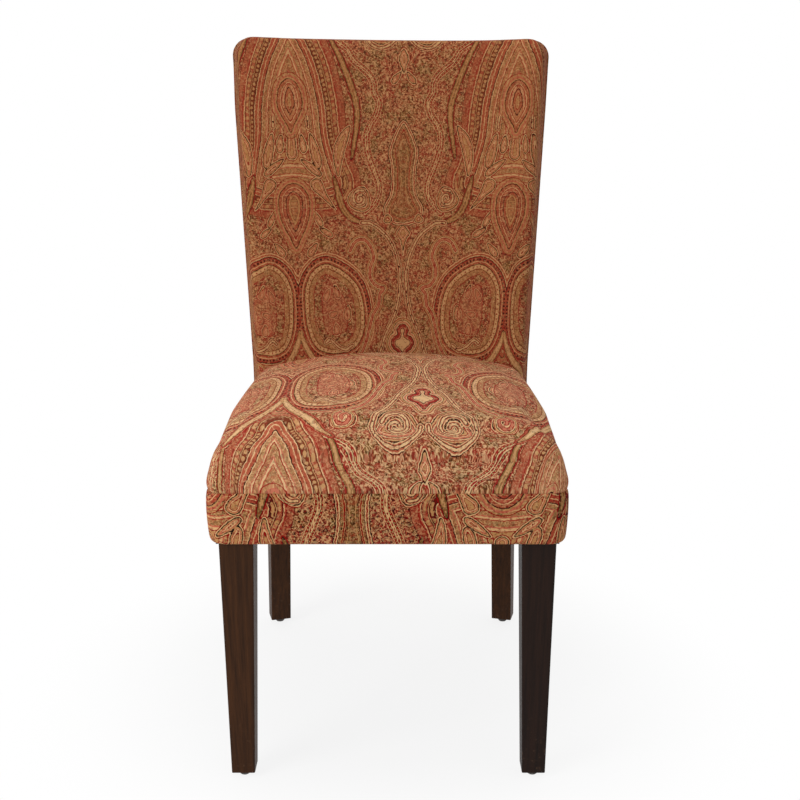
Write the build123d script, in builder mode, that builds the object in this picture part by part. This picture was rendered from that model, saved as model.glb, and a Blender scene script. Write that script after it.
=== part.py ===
from build123d import *
import os
from math import atan2, cos, hypot, radians, sin, sqrt, tan

# A fully upholstered side chair: dowelled hardwood frame, webbed and crowned seat, curved reclining back.
# Seen by someone who faces the chair, +X is to the right and +Y to the rear. Left and right follow that.
# The origin is on the floor, midway between the front of the seat and the rear of the back.
# All sizes are in millimetres and degrees.

# Whole chair
overall_height = 1000
overall_depth = 650

# Seat
seat_bottom = 350
seam_height = 420
seat_crown = 521
seat_width = 464
seat_rear_width = 434
seat_corner_radius = 24
seat_front_wall = 45
seat_front_roll = 40
seat_side_roll = 36
seat_side_crown = 20
seat_crown_distance = 300
roll_steps = 4
crown_steps = 4
border_lean = 1
hem_radius = 6
hem_width = 18

# Back
back_top_width = 527
back_thickness = 66
back_recline = 14
post_toe_out = 15
back_bend_height = 430
bend_radius = 140
crest_dip = 6
back_corner_radius = 28
back_front_edge_radius = 11
back_rear_edge_radius = 7
back_seam_setback = 12

# Fabric, filling and straps
cover_thickness = 1.5
soft_gap = 0.3
border_wadding = 10
back_foam_thickness = 28
back_side_foam = 14
back_top_foam = 20
webbing_thickness = 1.5
webbing_width = 50
webbing_weave_gap = 0.1
webbing_flat_margin = 2
seat_webbing_pitch = 82
seat_webbing_depth_pitch = 88
seat_webbing_count = 4
seat_webbing_end_margin = 6
back_webbing_count = 4
back_webbing_pitch = 78
back_webbing_gap = 0.6
dust_cover_thickness = 1
dust_cover_margin = 10
dust_cover_leg_gap = 1

# Wooden frame
leg_width = 45
leg_foot_width = 32
leg_outer_taper = 1
leg_edge_radius = 2
rail_height = 60
rail_thickness = 24
post_thickness = 35
post_depth = 45
rear_leg_rake = 54
rear_foot_depth = 33
rake_bend_height = 335
rear_rail_setback = 16
back_rail_thickness = 22
lower_back_rail_height = 45
lower_back_rail_bottom = 450
top_back_rail_height = 50
corner_block_height = 40
corner_block_reach = 45

# Fixings and glides
dowel_radius = 4
dowel_length = 36
dowel_hole_gap = 0.1
dowel_hole_end_gap = 1
dowel_edge_distance = 14
screw_head_radius = 4
screw_head_height = 3
screw_shank_radius = 2
screw_hole_gap = 0.2
screw_grip = 14
screw_bite = 17
screw_inset = 17
glide_height = 9
glide_radius = 9.5
glide_flat_radius = 6.5
glide_edge_radius = 11
glide_pin_radius = 1.6
glide_pin_length = 18
glide_pin_gap = 0.1

# Heights and depths that follow from the sizes above
rail_bottom = seat_bottom + cover_thickness
rail_top = rail_bottom + rail_height
seat_height = seat_crown - seam_height
foam_base = rail_top + 2 * webbing_thickness + webbing_weave_gap + soft_gap
seat_front = -overall_depth / 2
border_pad = cover_thickness + border_wadding
frame_front = seat_front + border_lean + border_pad
rail_back_of_front = frame_front + rail_thickness
leg_rear = frame_front + leg_width

# The back is curved about an upright axis in front of the chair, and its posts stand along radii of it
toe = radians(post_toe_out)
slope = tan(radians(back_recline))
rear_crest_radius = back_top_width / 2 / sin(toe)
crest_rounding = back_rear_edge_radius * (slope + 1 / cos(radians(back_recline)) - 1)
axis_y = overall_depth / 2 - rear_crest_radius + crest_dip * slope + crest_rounding
back_axis = Axis((0, axis_y, 0), (0, 0, 1))
side_padding = cover_thickness + back_side_foam
post_inner_inset = side_padding + post_thickness
frame_setback = cover_thickness + back_foam_thickness + 2 * soft_gap + webbing_thickness + back_webbing_gap
post_top = overall_height - crest_dip - back_top_foam - cover_thickness
sweep_margin = 4
above_crest = 15


def front_radius(z):
    """Distance from the axis to the front of the back at a height above its bend."""
    return rear_crest_radius - back_thickness - (overall_height - z) * slope


front_low = front_radius(back_bend_height)
post_front = front_low + frame_setback
post_rear = post_front + post_depth
post_corner_radius = hypot(post_rear, post_inner_inset)
rear_low = post_corner_radius + soft_gap + cover_thickness
upper_post_depth = back_thickness - frame_setback - (rear_low - post_rear)
rear_bend_height = back_bend_height + (rear_low - back_thickness - front_low) / slope
rear_rail_front = post_front + rear_rail_setback


def post_point(side, radius, inset):
    """Plan position at a distance along a post from the axis, set in from the side of the back."""
    x = side * (radius * sin(toe) - inset * cos(toe))
    y = axis_y + radius * cos(toe) + inset * sin(toe)
    return Vector(x, y)


def post_face(side, inset):
    """Upright plane along a post, set in from the side of the back, facing outwards."""
    outwards = Vector(side * cos(toe), -sin(toe), 0)
    along = Vector(side * sin(toe), cos(toe), 0)
    return Plane(origin=Vector(0, axis_y, 0) - outwards * inset, x_dir=along, z_dir=outwards)


def radial_plane(angle):
    """Upright plane through the axis, turned to the right of the centre line."""
    turn = radians(angle)
    return Plane(origin=(0, axis_y, 0), x_dir=(sin(turn), cos(turn), 0), z_dir=(cos(turn), -sin(turn), 0))


post_front_corner = post_point(1, post_front, side_padding)
seat_rear = post_front_corner.Y
sweep_angle = post_toe_out + sweep_margin


def seat_half(y):
    """Half the width of the seat at its seam."""
    share = (y - seat_front) / (seat_rear - seat_front)
    return (seat_width + (seat_rear_width - seat_width) * share) / 2


def frame_half(y):
    """Half the width across the outside of the side rails."""
    return seat_half(y) - border_lean - border_pad


side_slope = (seat_width - seat_rear_width) / 2 / (seat_rear - seat_front)
rail_cut_width = rail_thickness * sqrt(1 + side_slope**2)
leg_outer = frame_half(leg_rear)
leg_inner = leg_outer - leg_width
leg_centre = (leg_outer - leg_width / 2, frame_front + leg_width / 2)
foot_centre = (
    leg_outer - leg_outer_taper - leg_foot_width / 2,
    frame_front + leg_outer_taper + leg_foot_width / 2,
)
rear_foot_centre = post_point(
    1, post_front + rear_leg_rake + rear_foot_depth / 2, side_padding + post_thickness / 2
)


def rail_inner_half(y):
    """Half the width across the inside of the side rails."""
    return frame_half(y) - rail_cut_width


# Dowels: each joint has two, one above the other, centred on the joint's face
def stacked(origin, direction, bottom, height):
    """Two dowel centres near the lower and upper edge of a rail."""
    levels = (bottom + dowel_edge_distance, bottom + height - dowel_edge_distance)
    return [Plane(origin=(origin.X, origin.Y, z), z_dir=direction) for z in levels]


def back_rail_dowels(side, bottom, height):
    """Dowels square to the inner face of a post, on the middle of a reclining rail."""
    spots = []
    for z in (bottom + dowel_edge_distance, bottom + height - dowel_edge_distance):
        radius = front_radius(z) + frame_setback + back_rail_thickness / 2
        place = post_point(side, radius, post_inner_inset)
        spots.append(Plane(origin=(place.X, place.Y, z), z_dir=post_face(side, 0).z_dir))
    return spots


top_back_rail_bottom = post_top - top_back_rail_height
front_joint = []
side_front_joint = []
side_rear_joint = []
rear_joint = []
back_joint = []
for side in (-1, 1):
    front_spot = Vector(side * leg_inner, frame_front + rail_thickness / 2)
    front_joint += stacked(front_spot, (1, 0, 0), rail_bottom, rail_height)
    side_spot = Vector(side * (leg_outer - rail_cut_width / 2), leg_rear)
    side_front_joint += stacked(side_spot, (0, 1, 0), rail_bottom, rail_height)
    rail_end_middle = (rail_inner_half(seat_rear) + post_front_corner.X) / 2
    dowel_drift = dowel_length / 4 * (tan(toe) + side_slope)
    end_inset = side_padding + (post_front_corner.X - rail_end_middle - dowel_drift) / cos(toe)
    end_spot = post_point(side, post_front, end_inset)
    side_rear_joint += stacked(end_spot, post_face(side, 0).x_dir, rail_bottom, rail_height)
    rear_spot = post_point(side, rear_rail_front + back_rail_thickness / 2, post_inner_inset)
    rear_joint += stacked(rear_spot, post_face(side, 0).z_dir, rail_bottom, rail_height)
    back_joint += back_rail_dowels(side, lower_back_rail_bottom, lower_back_rail_height)
    back_joint += back_rail_dowels(side, top_back_rail_bottom, top_back_rail_height)
seat_joints = front_joint + side_front_joint + side_rear_joint + rear_joint


def drill_dowel_holes(spots):
    """Bore blind dowel holes into the part being built."""
    with Locations(*spots):
        Cylinder(
            dowel_radius + dowel_hole_gap,
            dowel_length + 2 * dowel_hole_end_gap,
            mode=Mode.SUBTRACT,
        )


# Corner block screws: each stands square to a rail's inner face and its head sits inside the block
block_bottom = rail_bottom + (rail_height - corner_block_height) / 2
block_middle = block_bottom + corner_block_height / 2
rear_block_x = post_point(1, post_front, post_inner_inset).X - corner_block_reach


def screw_places(front, side):
    """Planes on the rails' inner faces, facing into one corner block."""
    if front:
        x = leg_inner - screw_inset
        first = Plane(origin=(side * x, rail_back_of_front, block_middle), z_dir=(0, 1, 0))
        y = leg_rear + screw_inset
    else:
        x = rear_block_x + screw_inset
        rail_y = axis_y + sqrt(rear_rail_front**2 - x**2)
        towards_axis = (-side * x, axis_y - rail_y, 0)
        first = Plane(origin=(side * x, rail_y, block_middle), z_dir=towards_axis)
        y = seat_rear - screw_inset
    inwards = (-side, -side_slope, 0)
    second = Plane(origin=(side * rail_inner_half(y), y, block_middle), z_dir=inwards)
    return [first, second]


all_screws = [place for front in (True, False) for side in (-1, 1) for place in screw_places(front, side)]


def drill_screw_pilots():
    """Bore the screws' pilot holes into the rail being built."""
    with Locations(*all_screws):
        Cylinder(
            screw_shank_radius + screw_hole_gap,
            2 * (screw_bite + screw_hole_gap),
            mode=Mode.SUBTRACT,
        )


def save(piece, name):
    """Label a finished piece and write it to its own file."""
    piece.label = name
    export_step(piece, f"parts/{name}.step")


os.makedirs("parts", exist_ok=True)

# Front legs: square at the rails, tapering to the foot, more on the inner faces than on the outer ones
for side, side_name in ((-1, "left"), (1, "right")):
    with BuildPart() as front_leg:
        with BuildSketch(Plane.XY.offset(glide_height)):
            with Locations((side * foot_centre[0], foot_centre[1])):
                RectangleRounded(leg_foot_width, leg_foot_width, leg_edge_radius)
        with BuildSketch(Plane.XY.offset(rail_bottom)):
            with Locations((side * leg_centre[0], leg_centre[1])):
                RectangleRounded(leg_width, leg_width, leg_edge_radius)
        loft(ruled=True)
        with BuildSketch(Plane.XY.offset(rail_bottom)):
            with Locations((side * leg_centre[0], leg_centre[1])):
                RectangleRounded(leg_width, leg_width, leg_edge_radius)
        extrude(amount=rail_height)
        drill_dowel_holes(front_joint + side_front_joint)
        with Locations((side * foot_centre[0], foot_centre[1], glide_height)):
            Cylinder(
                glide_pin_radius + glide_pin_gap,
                2 * (glide_pin_length + glide_pin_gap),
                mode=Mode.SUBTRACT,
            )
    save(front_leg.part, f"front_leg_{side_name}")

# Rear posts: leg and back upright sawn from one plank, toed out, raked below the seat and reclined above it
with BuildPart() as rear_post_right:
    with BuildSketch(post_face(1, side_padding)) as post_side:
        with BuildLine():
            Polyline(
                (post_front + rear_leg_rake, glide_height),
                (post_front, rake_bend_height),
                (post_front, back_bend_height),
                (front_radius(post_top) + frame_setback, post_top),
                (front_radius(post_top) + frame_setback + upper_post_depth, post_top),
                (post_rear, rear_bend_height),
                (post_rear, rake_bend_height),
                (post_front + rear_leg_rake + rear_foot_depth, glide_height),
                close=True,
            )
        make_face()
        bends = post_side.vertices().filter_by(lambda corner: glide_height < corner.Y < post_top)
        fillet(bends, radius=bend_radius)
    extrude(amount=-post_thickness)
    leg_edges = rear_post_right.edges().filter_by(lambda edge: edge.bounding_box().max.Z < rake_bend_height)
    fillet(leg_edges.filter_by(lambda edge: edge.length > post_depth), radius=leg_edge_radius)
    drill_dowel_holes(side_rear_joint + rear_joint + back_joint)
    with Locations((rear_foot_centre.X, rear_foot_centre.Y, glide_height)):
        Cylinder(
            glide_pin_radius + glide_pin_gap,
            2 * (glide_pin_length + glide_pin_gap),
            mode=Mode.SUBTRACT,
        )
save(rear_post_right.part, "rear_post_right")

with BuildPart() as rear_post_left:
    mirror(rear_post_right.part, about=Plane.YZ)
save(rear_post_left.part, "rear_post_left")

# Front seat rail, between the legs and flush with their front faces
with BuildPart() as front_rail:
    with BuildSketch(Plane.XY.offset(rail_bottom)):
        with Locations((0, frame_front + rail_thickness / 2)):
            Rectangle(2 * leg_inner, rail_thickness)
    extrude(amount=rail_height)
    drill_dowel_holes(front_joint)
    drill_screw_pilots()
save(front_rail.part, "front_rail")

# Side seat rails, from a front leg's rear face to a rear post's front face
for side, side_name in ((-1, "left"), (1, "right")):
    with BuildPart() as side_rail:
        with BuildSketch(Plane.XY.offset(rail_bottom)):
            with BuildLine():
                Polyline(
                    (side * leg_outer, leg_rear),
                    (side * frame_half(seat_rear + post_depth), seat_rear + post_depth),
                    (side * rail_inner_half(seat_rear + post_depth), seat_rear + post_depth),
                    (side * rail_inner_half(leg_rear), leg_rear),
                    close=True,
                )
            make_face()
        extrude(amount=rail_height)
        post_end = post_point(side, post_front, 0)
        split(bisect_by=Plane(origin=post_end, z_dir=post_face(side, 0).x_dir), keep=Keep.BOTTOM)
        drill_dowel_holes(side_front_joint + side_rear_joint)
        drill_screw_pilots()
    save(side_rail.part, f"side_rail_{side_name}")


def curved_rail(profile):
    """Sweep a rail's section about the back's axis and trim its ends to the posts' inner faces."""
    with BuildPart() as rail:
        with BuildSketch(radial_plane(sweep_angle)):
            with BuildLine():
                Polyline(*profile, close=True)
            make_face()
        revolve(axis=back_axis, revolution_arc=2 * sweep_angle)
        for side in (-1, 1):
            split(bisect_by=post_face(side, post_inner_inset), keep=Keep.BOTTOM)
    return rail.part


def reclined_section(bottom, height):
    """Section of a back rail whose faces follow the recline."""
    low = front_radius(bottom) + frame_setback
    high = front_radius(bottom + height) + frame_setback
    return [
        (low, bottom),
        (high, bottom + height),
        (high + back_rail_thickness, bottom + height),
        (low + back_rail_thickness, bottom),
    ]


# Rear seat rail and the two back rails, all bandsawn to the curve of the back
with BuildPart() as rear_rail:
    add(
        curved_rail([
            (rear_rail_front, rail_bottom),
            (rear_rail_front, rail_top),
            (rear_rail_front + back_rail_thickness, rail_top),
            (rear_rail_front + back_rail_thickness, rail_bottom),
        ])
    )
    drill_dowel_holes(rear_joint)
    drill_screw_pilots()
save(rear_rail.part, "rear_rail")

with BuildPart() as back_lower_rail:
    add(curved_rail(reclined_section(lower_back_rail_bottom, lower_back_rail_height)))
    drill_dowel_holes(back_joint)
save(back_lower_rail.part, "back_lower_rail")

with BuildPart() as back_top_rail:
    add(curved_rail(reclined_section(top_back_rail_bottom, top_back_rail_height)))
    drill_dowel_holes(back_joint)
save(back_top_rail.part, "back_top_rail")


def post_outline(side, gap):
    """Plan corners of a rear post at the seat, grown by a gap."""
    near = post_front - gap
    far = post_rear + gap
    outer = side_padding - gap
    inner = post_inner_inset + gap
    return [
        post_point(side, near, outer),
        post_point(side, far, outer),
        post_point(side, far, inner),
        post_point(side, near, inner),
    ]


# Corner blocks, glued and screwed into the seat frame: the front ones are notched round the legs
block_end_y = leg_rear + corner_block_reach
block_front_y = seat_rear - corner_block_reach
block_rear_y = axis_y + rear_rail_front
for front, front_name in ((True, "front"), (False, "rear")):
    for side, side_name in ((-1, "left"), (1, "right")):
        with BuildPart() as corner_block:
            with BuildSketch(Plane.XY.offset(block_bottom)):
                with BuildLine():
                    if front:
                        Polyline(
                            (side * leg_inner, rail_back_of_front),
                            (side * leg_inner, leg_rear),
                            (side * rail_inner_half(leg_rear), leg_rear),
                            (side * rail_inner_half(block_end_y), block_end_y),
                            (side * (leg_inner - corner_block_reach), rail_back_of_front),
                            close=True,
                        )
                    else:
                        Polyline(
                            (side * rail_inner_half(block_front_y), block_front_y),
                            (side * rail_inner_half(block_rear_y), block_rear_y),
                            (side * rear_block_x, block_rear_y),
                            close=True,
                        )
                make_face()
                if not front:
                    with Locations((0, axis_y)):
                        Circle(rear_rail_front, mode=Mode.INTERSECT)
                    with BuildLine():
                        Polyline(*post_outline(side, 0), close=True)
                    make_face(mode=Mode.SUBTRACT)
            extrude(amount=corner_block_height)
            for place in screw_places(front, side):
                with Locations(place):
                    Cylinder(
                        screw_shank_radius + screw_hole_gap,
                        2 * corner_block_reach,
                        mode=Mode.SUBTRACT,
                    )
                with Locations(place.offset(screw_grip)):
                    Cylinder(
                        screw_head_radius + screw_hole_gap,
                        corner_block_reach,
                        align=(Align.CENTER, Align.CENTER, Align.MIN),
                        mode=Mode.SUBTRACT,
                    )
        save(corner_block.part, f"corner_block_{front_name}_{side_name}")

# Screws that hold the corner blocks to the rails
with BuildPart() as corner_block_screws:
    with Locations(*all_screws):
        with Locations((0, 0, screw_grip)):
            Cylinder(
                screw_head_radius,
                screw_head_height,
                align=(Align.CENTER, Align.CENTER, Align.MIN),
            )
            Cylinder(
                screw_shank_radius,
                screw_grip + screw_bite,
                align=(Align.CENTER, Align.CENTER, Align.MAX),
            )
save(corner_block_screws.part, "corner_block_screws")

# Hardwood dowels of the seat frame and of the back frame
for spots, dowel_name in ((seat_joints, "seat_frame_dowels"), (back_joint, "back_frame_dowels")):
    with BuildPart() as dowels:
        with Locations(*spots):
            Cylinder(dowel_radius, dowel_length)
        chamfer(dowels.edges().filter_by(GeomType.CIRCLE), length=dowel_radius / 4)
    save(dowels.part, dowel_name)

# Nail-on glides, one under each foot
glide_places = {
    "glide_front_left": (-foot_centre[0], foot_centre[1]),
    "glide_front_right": foot_centre,
    "glide_rear_left": (-rear_foot_centre.X, rear_foot_centre.Y),
    "glide_rear_right": (rear_foot_centre.X, rear_foot_centre.Y),
}
pin_end = glide_height + glide_pin_length
for glide_name, (x, y) in glide_places.items():
    with BuildPart() as glide:
        with BuildSketch(Plane(origin=(x, y, 0), x_dir=(1, 0, 0), z_dir=(0, -1, 0))):
            with BuildLine():
                Line((0, 0), (glide_flat_radius, 0))
                RadiusArc((glide_flat_radius, 0), (glide_radius, glide_height), -glide_edge_radius)
                Polyline(
                    (glide_radius, glide_height),
                    (glide_pin_radius, glide_height),
                    (glide_pin_radius, pin_end),
                    (0, pin_end),
                    (0, 0),
                )
            make_face()
        revolve(axis=Axis((x, y, 0), (0, 0, 1)))
    save(glide.part, glide_name)


# Elastic webbing: straps are stapled to the tops of the rails and woven over and under each other
def woven_strap(start, end, crossings, over_first):
    """Side outline of a strap that passes over and under the straps it crosses."""
    low = rail_top
    high = rail_top + webbing_thickness + webbing_weave_gap
    reach = webbing_width / 2 + webbing_flat_margin
    line = [(start, low)]
    over = over_first
    for crossing in crossings:
        level = high if over else low
        line += [(crossing - reach, level), (crossing + reach, level)]
        over = not over
    line.append((end, low))
    return line + [(place, level + webbing_thickness) for place, level in reversed(line)]


strap_numbers = range(seat_webbing_count)
middle_strap = (seat_webbing_count - 1) / 2
seat_middle = (rail_back_of_front + axis_y + rear_rail_front) / 2
strap_x = [(number - middle_strap) * seat_webbing_pitch for number in strap_numbers]
strap_y = [seat_middle + (number - middle_strap) * seat_webbing_depth_pitch for number in strap_numbers]

with BuildPart() as seat_webbing_lengthwise:
    strap_front = frame_front + seat_webbing_end_margin
    strap_rear = axis_y + rear_rail_front + seat_webbing_end_margin
    for number, x in enumerate(strap_x):
        with BuildSketch(Plane(origin=(x, 0, 0), x_dir=(0, 1, 0), z_dir=(1, 0, 0))):
            with BuildLine():
                Polyline(*woven_strap(strap_front, strap_rear, strap_y, number % 2 == 0), close=True)
            make_face()
        extrude(amount=webbing_width / 2, both=True)
save(seat_webbing_lengthwise.part, "seat_webbing_lengthwise")

with BuildPart() as seat_webbing_crosswise:
    for number, y in enumerate(strap_y):
        strap_end = frame_half(y) - seat_webbing_end_margin
        with BuildSketch(Plane(origin=(0, y, 0), x_dir=(1, 0, 0), z_dir=(0, -1, 0))):
            with BuildLine():
                Polyline(*woven_strap(-strap_end, strap_end, strap_x, number % 2 == 1), close=True)
            make_face()
        extrude(amount=webbing_width / 2, both=True)
save(seat_webbing_crosswise.part, "seat_webbing_crosswise")

with BuildPart() as back_webbing:
    strap_low = lower_back_rail_bottom + lower_back_rail_height / 4
    strap_high = top_back_rail_bottom + top_back_rail_height * 3 / 4
    face_gap = frame_setback - back_webbing_gap
    for number in range(back_webbing_count):
        spread = (number - (back_webbing_count - 1) / 2) * back_webbing_pitch
        angle = spread / front_radius(strap_low) / radians(1)
        with BuildSketch(radial_plane(angle)):
            with BuildLine():
                Polyline(
                    (front_radius(strap_low) + face_gap, strap_low),
                    (front_radius(strap_high) + face_gap, strap_high),
                    (front_radius(strap_high) + face_gap - webbing_thickness, strap_high),
                    (front_radius(strap_low) + face_gap - webbing_thickness, strap_low),
                    close=True,
                )
            make_face()
        extrude(amount=webbing_width / 2, both=True)
save(back_webbing.part, "back_webbing")


# The back's padded form: a curved slab with toed-out sides, rounded edges and a slightly dipped crest
def back_form(front, side_inset, crest, rear, bottom, edges=True):
    """The back with its front, sides, crest and rear set in by the given amounts."""
    top = overall_height + above_crest
    cutter_half = back_top_width / 2 + above_crest
    crest_middle = overall_height - crest - crest_dip
    crest_end = crest_middle + crest_dip * (2 * cutter_half / back_top_width) ** 2
    with BuildPart() as form:
        with BuildSketch(radial_plane(sweep_angle)) as section:
            with BuildLine():
                Polyline(
                    (front_low + front, bottom),
                    (front_low + front, back_bend_height),
                    (front_radius(top) + front, top),
                    (front_radius(top) + back_thickness - rear, top),
                    (rear_low - rear, rear_bend_height),
                    (rear_low - rear, bottom),
                    close=True,
                )
            make_face()
            bends = section.vertices().filter_by(lambda corner: bottom < corner.Y < top)
            fillet(bends, radius=bend_radius)
        revolve(axis=back_axis, revolution_arc=2 * sweep_angle)
        for side in (-1, 1):
            split(bisect_by=post_face(side, side_inset), keep=Keep.BOTTOM)
        with BuildSketch(Plane.XZ.offset(-overall_depth)):
            with BuildLine():
                ThreePointArc((-cutter_half, crest_end), (0, crest_middle), (cutter_half, crest_end))
                Polyline(
                    (cutter_half, crest_end),
                    (cutter_half, top + above_crest),
                    (-cutter_half, top + above_crest),
                    (-cutter_half, crest_end),
                )
            make_face()
        extrude(amount=2 * overall_depth, mode=Mode.SUBTRACT)
        if edges:
            ends = form.faces().sort_by(Axis.Z)[-1].edges().sort_by(Axis.X)
            fillet([ends[0], ends[-1]], radius=back_corner_radius - side_inset)
            front_face = form.faces().filter_by(GeomType.CONE).sort_by(Axis.Y)[0]
            above_bend = back_bend_height + bend_radius
            front_rim = front_face.edges().filter_by(lambda edge: edge.center().Z > above_bend)
            fillet(front_rim, radius=back_front_edge_radius - front)
            rear_face = form.faces().filter_by(GeomType.CONE).sort_by(Axis.Y)[-1]
            above_bend = rear_bend_height + bend_radius
            rear_rim = rear_face.edges().filter_by(lambda edge: edge.center().Z > above_bend)
            fillet(rear_rim, radius=back_rear_edge_radius - rear)
    return form.part


padding_inset = cover_thickness + soft_gap
back_outside = back_form(0, 0, 0, 0, seat_bottom)
back_clearance = back_form(-soft_gap, -soft_gap, -soft_gap, -soft_gap, seat_bottom - hem_width)
inside_back_bottom = seam_height + soft_gap

# Back foam: a cap over the front, sides and crest of the back frame, its side strips running down the posts
with BuildPart() as back_foam:
    add(back_form(padding_inset, padding_inset, padding_inset, padding_inset, rail_bottom + soft_gap))
    add(
        back_form(
            padding_inset + back_foam_thickness,
            side_padding - soft_gap,
            back_top_foam + cover_thickness - soft_gap,
            -back_thickness,
            seat_bottom,
            edges=False,
        ),
        mode=Mode.SUBTRACT,
    )
    with Locations((0, axis_y, 0)):
        Cylinder(
            hypot(post_front, side_padding) + soft_gap,
            foam_base,
            align=(Align.CENTER, Align.CENTER, Align.MIN),
            mode=Mode.SUBTRACT,
        )
save(back_foam.part, "back_foam")

# Back covers: the inside panel wraps the front, crest and sides, the outside panel closes the rear
# and is turned under the rear rail between the posts
with BuildPart() as back_skin:
    add(back_outside)
    add(
        back_form(
            cover_thickness,
            cover_thickness,
            cover_thickness,
            cover_thickness,
            seat_bottom - hem_width,
        ),
        mode=Mode.SUBTRACT,
    )

with BuildPart() as inside_back_zone:
    add(back_form(-above_crest, -above_crest, -above_crest, back_seam_setback, seat_bottom, edges=False))
    split(bisect_by=Plane.XY.offset(inside_back_bottom), keep=Keep.TOP)

with BuildPart() as inside_back_cover:
    add(back_skin.part)
    add(inside_back_zone.part, mode=Mode.INTERSECT)
save(inside_back_cover.part, "inside_back_cover")

with BuildPart() as outside_back_cover:
    add(back_skin.part)
    add(inside_back_zone.part, mode=Mode.SUBTRACT)
    with Locations((0, axis_y, 0)):
        Cylinder(
            front_low + back_front_edge_radius + cover_thickness,
            inside_back_bottom,
            align=(Align.CENTER, Align.CENTER, Align.MIN),
            mode=Mode.SUBTRACT,
        )
    add(
        curved_rail([
            (rear_low - hem_width, seat_bottom),
            (rear_low - hem_width, rail_bottom),
            (rear_low - cover_thickness / 2, rail_bottom),
            (rear_low - cover_thickness / 2, seat_bottom),
        ])
    )
save(outside_back_cover.part, "outside_back_cover")


# Seat below the seam: straight sides drawn in a little towards a rounded hem
def seat_block(inset, bottom, top):
    """The boxed part of the seat with its outside set in, running on under the back."""
    end = seat_rear + post_depth
    with BuildPart() as block:
        for z in (bottom, top):
            drawn_in = inset + border_lean * (seam_height - z) / (seam_height - seat_bottom)
            front = seat_front + drawn_in
            with BuildSketch(Plane.XY.offset(z)) as outline:
                with BuildLine():
                    Polyline(
                        (drawn_in - seat_half(front), front),
                        (seat_half(front) - drawn_in, front),
                        (seat_half(end) - drawn_in, end),
                        (drawn_in - seat_half(end), end),
                        close=True,
                    )
                make_face()
                fillet(outline.vertices().group_by(Axis.Y)[0], radius=seat_corner_radius - inset)
        loft(ruled=True)
        hem = block.faces().sort_by(Axis.Z)[0].edges().sort_by(Axis.Y)[:-1]
        fillet(hem, radius=hem_radius - inset)
    return block.part


def leg_notches(gap):
    """Plan outlines of the four legs where they leave the seat, grown by a gap."""
    notches = [post_outline(side, gap) for side in (-1, 1)]
    for side in (-1, 1):
        inner = side * (leg_inner - gap)
        outer = side * (leg_outer + gap)
        notches.append([
            (inner, frame_front - gap),
            (outer, frame_front - gap),
            (outer, leg_rear + gap),
            (inner, leg_rear + gap),
        ])
    return notches


# Seat border, the band of fabric round the rails, turned under and stapled to their lower edges
with BuildPart() as seat_border:
    add(seat_block(0, seat_bottom, seam_height))
    add(seat_block(cover_thickness, rail_bottom, seam_height + cover_thickness), mode=Mode.SUBTRACT)
    with BuildSketch(Plane.XY.offset(seat_bottom)):
        hem_front = seat_front + border_lean + hem_width
        with BuildLine():
            Polyline(
                (hem_width + border_lean - seat_half(hem_front), hem_front),
                (seat_half(hem_front) - border_lean - hem_width, hem_front),
                (seat_half(seat_rear) - border_lean - hem_width, seat_rear + post_depth),
                (hem_width + border_lean - seat_half(seat_rear), seat_rear + post_depth),
                close=True,
            )
        make_face()
        for notch in leg_notches(soft_gap):
            with BuildLine():
                Polyline(*notch, close=True)
            make_face()
    extrude(amount=cover_thickness + hem_radius, mode=Mode.SUBTRACT)
    add(back_clearance, mode=Mode.SUBTRACT)
    split(bisect_by=Plane.XZ.offset(-seat_rear), keep=Keep.TOP)
save(seat_border.part, "seat_border")

# Wadding strips between the rails and the border
frame_face = frame_front - soft_gap
with BuildPart() as rail_wadding:
    add(seat_block(padding_inset, rail_bottom + soft_gap, foam_base - soft_gap))
    with BuildSketch(Plane.XY.offset(rail_bottom)):
        with BuildLine():
            Polyline(
                (-leg_outer - soft_gap, frame_face),
                (leg_outer + soft_gap, frame_face),
                (leg_outer + soft_gap, leg_rear),
                (frame_half(seat_rear) + soft_gap, seat_rear),
                (frame_half(seat_rear) + soft_gap, seat_rear + 2 * post_depth),
                (-frame_half(seat_rear) - soft_gap, seat_rear + 2 * post_depth),
                (-frame_half(seat_rear) - soft_gap, seat_rear),
                (-leg_outer - soft_gap, leg_rear),
                close=True,
            )
        make_face()
    extrude(amount=foam_base, mode=Mode.SUBTRACT)
    add(back_clearance, mode=Mode.SUBTRACT)
    split(bisect_by=Plane.XZ.offset(-seat_rear), keep=Keep.TOP)

with BuildPart() as rail_padding_front:
    add(rail_wadding.part)
    split(bisect_by=Plane.XZ.offset(-frame_face), keep=Keep.TOP)
save(rail_padding_front.part, "rail_padding_front")

for side, side_name in ((-1, "left"), (1, "right")):
    with BuildPart() as rail_padding:
        add(rail_wadding.part)
        split(bisect_by=Plane.XZ.offset(-frame_face), keep=Keep.BOTTOM)
        split(bisect_by=Plane.YZ, keep=Keep.TOP if side > 0 else Keep.BOTTOM)
    save(rail_padding.part, f"rail_padding_{side_name}")


# Seat above the seam: upright sides, rounded shoulders and a low crown, each section a three-centred arch
def crown_radius(span, roll, rise):
    """Radius of the middle arc of a three-centred arch, from half its span, its end radius and its rise."""
    return ((span - roll) ** 2 + rise**2 - roll**2) / (2 * (rise - roll))


def arch_points(half, height, inset):
    """End of the wall, middle and end of the shoulder, and top of the crown of one cross-section."""
    scale = (height + inset) / seat_height
    roll = seat_side_roll * scale - inset
    rise = (seat_side_roll + seat_side_crown) * scale - inset
    top = seam_height + height
    wall = top - rise
    turn = atan2(crown_radius(half, roll, rise) - rise, half - roll)
    middle = Vector(half - roll + roll * cos(turn / 2), wall + roll * sin(turn / 2))
    joint = Vector(half - roll + roll * cos(turn), wall + roll * sin(turn))
    return [Vector(half, wall), middle, joint, Vector(0, top)]


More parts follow.
